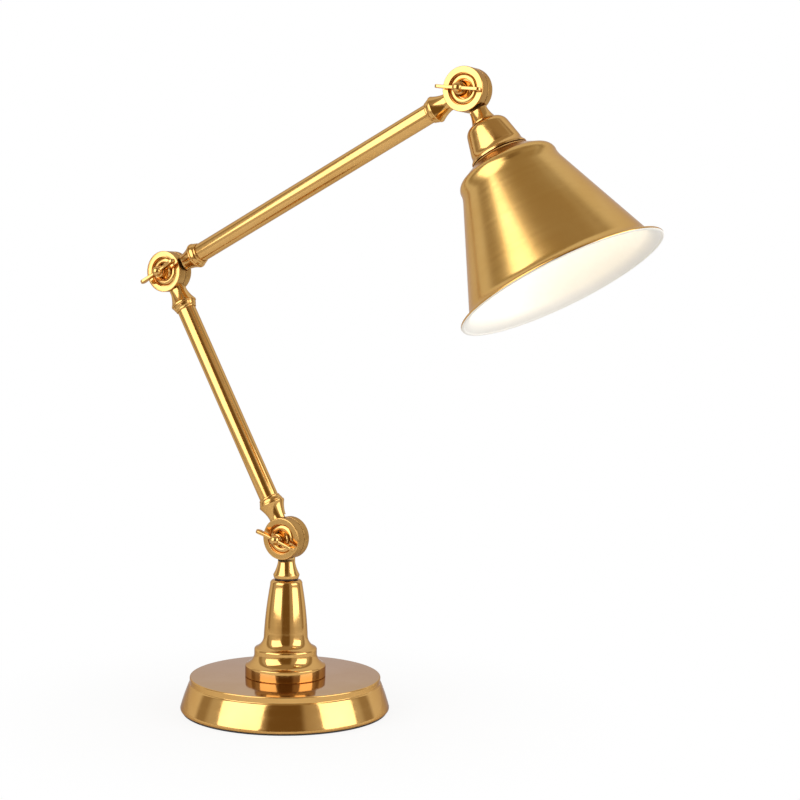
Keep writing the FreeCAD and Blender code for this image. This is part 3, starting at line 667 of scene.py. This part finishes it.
def knuckle(node_name, joint, side, angle, outline, neck_finish):
    """A dished half with its neck, which clears the other half."""
    centre = CENTRES[joint]
    half = dished_disc(node_name + "_piece", centre, side)
    stub = lathe("stub", outline, axis_frame(centre, angle), steps=72, ease=0.2)
    low, high = (-KNUCKLE_R, PARTING) if side == "front" else (-PARTING, KNUCKLE_R)
    combine(stub, drum(KNUCKLE_R + NECK_ROOM, low, high, joint_frame(centre)), "DIFFERENCE")
    combine(half, stub, "UNION")
    finished(half, node_name, FACE_BRASS[joint], RIM_BRASS[joint], neck_finish, PAINTED_GAP_SHADE, smooth=28)
    way = Vector((math.cos(math.radians(angle)), 0, math.sin(math.radians(angle))))

    def from_pivot(spot):
        """The shortest way from the pivot's axis to a point."""
        offset = spot - centre
        return Vector((offset.x, 0, offset.z))

    def on_rim(spot, normal):
        return abs(normal.y) < 0.3 and abs(from_pivot(spot).length - KNUCKLE_R * MM) < 0.2 * MM

    def on_neck(spot, normal):
        out = from_pivot(spot)
        return out.length > (KNUCKLE_R + 0.15) * MM and out.dot(way) > 0

    # the concave cut face round the disc, beside the other half's neck, gets the near-black painted shade
    def in_gap(spot, normal):
        out = from_pivot(spot)
        return abs(out.length - (KNUCKLE_R + NECK_ROOM) * MM) < 0.12 * MM and out.dot(normal) < 0

    paint(half, 0, lambda spot, normal: True)
    paint(half, 1, on_rim)
    paint(half, 2, on_neck)
    paint(half, 3, in_gap)


def make_knuckles():
    knuckle("stem_head", "shoulder", "back", -90, STEM_NECK, BASE_POLISHED)
    knuckle("shoulder_front", "shoulder", "front", LOWER_ANGLE, ARM_NECK, LOWER_BRASS)
    knuckle("elbow_front", "elbow", "front", LOWER_ANGLE + 180, ARM_NECK, LOWER_BRASS)
    knuckle("elbow_back", "elbow", "back", UPPER_ANGLE, ARM_NECK, UPPER_BRASS)
    knuckle("wrist_front", "wrist", "front", UPPER_ANGLE + 180, ARM_NECK, UPPER_BRASS)
    knuckle("wrist_back", "wrist", "back", HEAD_ANGLE, HEAD_NECK, HEAD_POLISHED)


# how each wing nut is turned in its joint's frame, in degrees
WING_SETTING = {"shoulder": 161.0, "elbow": 210.0, "wrist": 174.0}
WING_THICKNESS = 2.5
NUT_BORE_R = 3.05


def wing_nut(joint):
    """Hub with a flared foot and a ball top, and two flat wings with round tips."""
    foot, ball, bore_end = 6.20, 16.95, 16.25
    hub_top = ball - 1.52
    place = joint_frame(CENTRES[joint], WING_SETTING[joint])
    hub = lathe(
        joint + "_wing_nut_piece",
        traced((0, foot), (6.4, foot), (6.4, foot + 0.9), ((5.3, foot + 2.3), (4.7, foot + 4.4)),
               (4.7, hub_top - 0.5), (3.7, hub_top), ((3.84, ball + 1.12), (0, ball + 4.0))),
        place, steps=72, ease=0.2)
    middle, tip, waist, reach = ball - 1.0, 3.0, 2.16, 16.0
    half = traced((0, middle - waist), ((reach * 0.55, middle - waist), (reach, middle - tip)),
                  ((19.0, middle), (reach, middle + tip)),
                  ((reach * 0.55, middle + waist), (0, middle + waist)))
    other = [(-x, z) for x, z in reversed(half)]
    wings = drawn("wings", half + other[1:])
    bpy.ops.mesh.remove_doubles(threshold=WELD)
    bpy.ops.mesh.select_all(action="SELECT")
    bpy.ops.mesh.edge_face_add()
    bpy.ops.transform.translate(value=(0, -WING_THICKNESS / 2, 0))
    bpy.ops.mesh.extrude_region_move(TRANSFORM_OT_translate={"value": (0, WING_THICKNESS, 0)})
    bpy.ops.mesh.select_all(action="SELECT")
    bpy.ops.mesh.normals_make_consistent(inside=False)
    bpy.ops.object.mode_set(mode="OBJECT")
    round_over = wings.modifiers.new("edges", "BEVEL")
    round_over.width = 0.45
    round_over.segments = 3
    round_over.limit_method = "ANGLE"
    round_over.angle_limit = math.radians(50)
    choose(wings)
    bpy.ops.object.modifier_apply(modifier=round_over.name)
    settle(wings, place)
    combine(hub, wings, "UNION")
    combine(hub, drum(NUT_BORE_R, foot - 1.0, bore_end, place, 48), "DIFFERENCE")
    finished(hub, joint + "_wing_nut", smooth=35)


# ---- arms ----
TUBE_R = 7.6
TUBE_BORE_R = 6.6
COLLAR_BORE_R = 7.63
LOWER_LENGTH = 240.38
UPPER_LENGTH = 305.28


def make_arm(name, centre, far, angle, length, finish):
    """Tube between two necks, with a collar at each end."""
    start, end = TUBE_END, length - TUBE_END
    wall = [(TUBE_BORE_R, start), (TUBE_R, start), (TUBE_R, end), (TUBE_BORE_R, end)]
    tube = lathe(name + "_arm_tube", wall, axis_frame(centre, angle), steps=96, ring=True, ease=0.1)
    finished(tube, name + "_tube", finish)
    line = traced((COLLAR_BORE_R, start), (9.75, start), (9.85, 30.9), (9.45, 32.2),
                  ((9.15, 33.1), (8.55, 33.8)), ((8.63, 34.6), (8.13, 35.4)), (COLLAR_BORE_R, 35.4))
    near_collar = lathe(name + "_collars", line, axis_frame(centre, angle), steps=96, ring=True, ease=0.15)
    far_collar = lathe("collar", line, axis_frame(far, angle + 180), steps=96, ring=True, ease=0.15)
    choose(near_collar)
    far_collar.select_set(True)
    bpy.ops.object.join()
    finished(near_collar, name + "_ferrules", finish)


# ---- head, with distances along its axis from the wrist ----
CUP_WALL = 1.2
SHADE_WALL = 1.0
CROWN = 55.3
RIM = 161.3
BEAD_AT = 78.8
BEAD_R = 1.3
BEAD_SIDES = 16
GLOBE_R = 22.5
GLOBE_FOOT = 84.3
GLOBE_END = 136.3


def make_cup(place):
    """Spun cup over the lampholder."""
    cup = spun_sheet(
        "spun_cup",
        traced((5.15, 28.2), (9.4, 28.2), ((14.0, 30.1), (16.4, 34.2)), (19.6, 48.3),
               ((20.3, 51.7), (21.8, 53.9)), (21.8, CROWN)),
        CUP_WALL, (HEAD_POLISHED, HEAD_POLISHED), place, steps=112)
    finished(cup, "socket_cup", HEAD_POLISHED, HEAD_POLISHED)


def make_shade(place):
    """Spun shade, enamelled inside as far as the lip, with its rolled bead."""
    shade = spun_sheet(
        "spun_shade",
        traced((17.0, CROWN), (19.6, CROWN), ((21.5, CROWN + 0.6), (22.6, CROWN + 1.9)), (33.3, CROWN + 8.2),
               ((37.2, CROWN + 11.4), (38.3, CROWN + 14.5)), (38.3, CROWN + 16.5),
               ((38.8, CROWN + 19.1), (39.96, CROWN + 22.7)), (69.96, RIM - 8.3),
               ((72.66, RIM - 3.5), (77.9, RIM - 0.5))),
        SHADE_WALL, (SHADE_BRASS, ENAMEL), place, steps=192)
    turns = [math.tau * i / BEAD_SIDES for i in range(BEAD_SIDES)]
    bead_line = [(BEAD_AT + BEAD_R * math.cos(turn), RIM + BEAD_R * math.sin(turn)) for turn in turns]
    bead = lathe("bead", bead_line, place, steps=192, ring=True, ease=0.01)
    bead.data.materials.append(SHADE_BRASS)
    choose(shade)
    bead.select_set(True)
    bpy.ops.object.join()
    finished(shade, "shade", SHADE_BRASS, ENAMEL)
    ahead = Vector((math.cos(math.radians(HEAD_ANGLE)), 0, math.sin(math.radians(HEAD_ANGLE))))

    def on_lip(spot, normal):
        offset = spot - WRIST
        out = offset - ahead * offset.dot(ahead)
        near_rim = offset.dot(ahead) > (RIM - 1.4) * MM
        return near_rim and (normal.dot(ahead) > 0.35 or normal.dot(out.normalized()) < -0.2)

    paint(shade, 1, on_lip)


def make_globe(place):
    """Bulb's glass: a short neck that runs smoothly into a ball."""
    centre = GLOBE_END - GLOBE_R
    neck_at = centre - 18.0
    share = 0.75
    joined_at = centre - GLOBE_R * math.sqrt(1 - share**2)
    globe = lathe(
        "opal_globe",
        traced((0, GLOBE_FOOT), (13.0, GLOBE_FOOT),
               ((13.8, (GLOBE_FOOT + neck_at) / 2), (GLOBE_R * share, joined_at)),
               ((GLOBE_R, centre), (0, GLOBE_END))),
        place, steps=80)
    finished(globe, "bulb_globe")


make_camera()
make_base()
make_stem()
make_knuckles()
for joint in CENTRES:
    wing_nut(joint)
make_arm("lower", SHOULDER, ELBOW, LOWER_ANGLE, LOWER_LENGTH, LOWER_BRASS)
make_arm("upper", ELBOW, WRIST, UPPER_ANGLE, UPPER_LENGTH, UPPER_BRASS)
HEAD_PLACE = axis_frame(WRIST, HEAD_ANGLE)
make_cup(HEAD_PLACE)
make_shade(HEAD_PLACE)
make_globe(HEAD_PLACE)

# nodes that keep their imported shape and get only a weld, smooth shading and a finish
AS_PACKED = (
    "base_weight", "cord_bush", "stem_screws", "swivel_spring", "swivel_nut", "head_nipple", "head_nut",
    "holder_cap", "holder_body", "holder_contact", "holder_shell", "shade_ring", "bulb_cap",
    "shoulder_bolt", "elbow_bolt", "wrist_bolt", "shoulder_washer", "elbow_washer", "wrist_washer",
    "shoulder_friction_ring", "elbow_friction_ring", "wrist_friction_ring",
)
for name in AS_PACKED:
    smooth_copy(name)


# ---- studio: white backdrop, two soft boxes, a dim room behind the camera and a pale floor ----
LAMP_COLOUR = (0.95, 0.97, 1.0)
LAMP_AIM = Vector((0.05, 0, 0.25))
# wall colours, from the backdrop behind the lamp at 0 round to the room behind the camera at 1
WALLS = ((0.00, (0.88, 0.88, 0.88)), (0.28, (0.88, 0.88, 0.88)), (0.33, (0.40, 0.34, 0.26)),
         (0.42, (0.40, 0.34, 0.26)), (0.48, (0.62, 0.60, 0.56)), (0.80, (0.72, 0.69, 0.64)),
         (0.955, (0.50, 0.44, 0.36)), (0.975, (0.20, 0.13, 0.055)), (1.00, (0.20, 0.13, 0.055)))
CEILING_COLOUR = (0.42, 0.35, 0.25)
# the ceiling fades in over these upward parts of a direction, and from the side to the front of the room
CEILING_RISE = (0.62, 0.88)
CEILING_FRONT = (0.45, 0.62)
FLOOR_RADIUS = 0.6
FLOOR_DROP = 0.0002
FLOOR_COLOUR = (0.82, 0.82, 0.82)
# distances from the base's centre over which the floor fades, and how white it is at each
FLOOR_FADE = (0.06, 0.30)
FLOOR_WHITE = (0.86, 1.0)


def soft_box(name, bearing, distance, size, height, brightness):
    """Upright soft box at a bearing from the camera's side, in degrees, with a given brightness."""
    to_camera = math.atan2(CAMERA_PLACE.y, CAMERA_PLACE.x)
    turn = to_camera + math.radians(bearing)
    data = bpy.data.lights.new(name, "AREA")
    data.shape = "RECTANGLE"
    data.size, data.size_y = size
    data.energy = brightness * math.pi * size[0] * size[1]
    data.color = LAMP_COLOUR
    lamp = bpy.data.objects.new(name, data)
    bpy.context.scene.collection.objects.link(lamp)
    place = Vector((distance * math.cos(turn), distance * math.sin(turn), height))
    ahead = LAMP_AIM - place
    lamp.matrix_world = Matrix.Translation(place) @ ahead.to_track_quat("-Z", "Y").to_matrix().to_4x4()
    lamp.visible_camera = False


def mixed(tree, factor, first, second, output):
    """Shader mixed from first to second, on the output's surface."""
    mix = node(tree, "ShaderNodeMixShader")
    tree.links.new(factor, mix.inputs["Fac"])
    tree.links.new(first.outputs[0], mix.inputs[1])
    tree.links.new(second.outputs[0], mix.inputs[2])
    tree.links.new(mix.outputs[0], output.inputs["Surface"])


def make_world():
    """Walls and ceiling for light and reflections, and plain white where the camera looks past the lamp."""
    world = bpy.data.worlds.new("studio")
    bpy.context.scene.world = world
    world.use_nodes = True
    tree = world.node_tree
    tree.nodes.clear()
    output = node(tree, "ShaderNodeOutputWorld")
    place = node(tree, "ShaderNodeTexCoord")
    level = node(tree, "ShaderNodeVectorMath", operation="MULTIPLY")
    level.inputs[1].default_value = (1, 1, 0)
    tree.links.new(place.outputs["Generated"], level.inputs[0])
    unit = node(tree, "ShaderNodeVectorMath", operation="NORMALIZE")
    tree.links.new(level.outputs[0], unit.inputs[0])
    facing = node(tree, "ShaderNodeVectorMath", operation="DOT_PRODUCT")
    facing.inputs[1].default_value = Vector((CAMERA_PLACE.x, CAMERA_PLACE.y, 0)).normalized()
    tree.links.new(unit.outputs[0], facing.inputs[0])
    half = math_node(tree, "MULTIPLY", math_node(tree, "ADD", facing.outputs["Value"], 1.0), 0.5)
    walls = node(tree, "ShaderNodeValToRGB")
    stops = walls.color_ramp.elements
    stops[0].position, stops[0].color = WALLS[0][0], (*WALLS[0][1], 1)
    stops[1].position, stops[1].color = WALLS[-1][0], (*WALLS[-1][1], 1)
    for position, colour in WALLS[1:-1]:
        stops.new(position).color = (*colour, 1)
    tree.links.new(half, walls.inputs["Fac"])
    split = node(tree, "ShaderNodeSeparateXYZ")
    tree.links.new(place.outputs["Generated"], split.inputs[0])
    ceiling = mapped(tree, split.outputs[2], CEILING_RISE, smooth=True)
    front = mapped(tree, half, CEILING_FRONT, smooth=True)
    dim = math_node(tree, "MULTIPLY", ceiling, front)
    studio = node(tree, "ShaderNodeBackground")
    tree.links.new(blended(tree, dim, walls.outputs["Color"], CEILING_COLOUR), studio.inputs["Color"])
    white = node(tree, "ShaderNodeBackground")
    white.inputs["Color"].default_value = (1, 1, 1, 1)
    light_path = node(tree, "ShaderNodeLightPath")
    mixed(tree, light_path.outputs["Is Camera Ray"], studio, white, output)


def make_floor():
    """Pale round floor that fades into the white background and keeps the lamp's shadow."""
    deselect()
    bpy.ops.mesh.primitive_circle_add(vertices=96, radius=FLOOR_RADIUS, fill_type="NGON",
                                      location=(0, 0, -FLOOR_DROP))
    floor = bpy.context.object
    floor.name = "floor"
    material = bpy.data.materials.new("floor_white")
    material.use_nodes = True
    tree = material.node_tree
    tree.nodes.clear()
    output = node(tree, "ShaderNodeOutputMaterial")
    paper = node(tree, "ShaderNodeBsdfDiffuse")
    paper.inputs["Color"].default_value = (*FLOOR_COLOUR, 1)
    glow = node(tree, "ShaderNodeEmission")
    glow.inputs["Strength"].default_value = 1.0
    place = node(tree, "ShaderNodeTexCoord")
    distance = node(tree, "ShaderNodeVectorMath", operation="LENGTH")
    tree.links.new(place.outputs["Object"], distance.inputs[0])
    fade = mapped(tree, distance.outputs["Value"], FLOOR_FADE, FLOOR_WHITE, smooth=True)
    light_path = node(tree, "ShaderNodeLightPath")
    seen = math_node(tree, "MULTIPLY", light_path.outputs["Is Camera Ray"], fade)
    mixed(tree, seen, paper, glow, output)
    floor.data.materials.append(material)


make_world()
make_floor()
soft_box("left_box", -51, 1.35, (1.40, 1.50), 0.78, 2.4)
soft_box("right_box", 62, 1.35, (1.05, 1.10), 0.58, 2.6)

bpy.context.scene.view_settings.view_transform = "Standard"
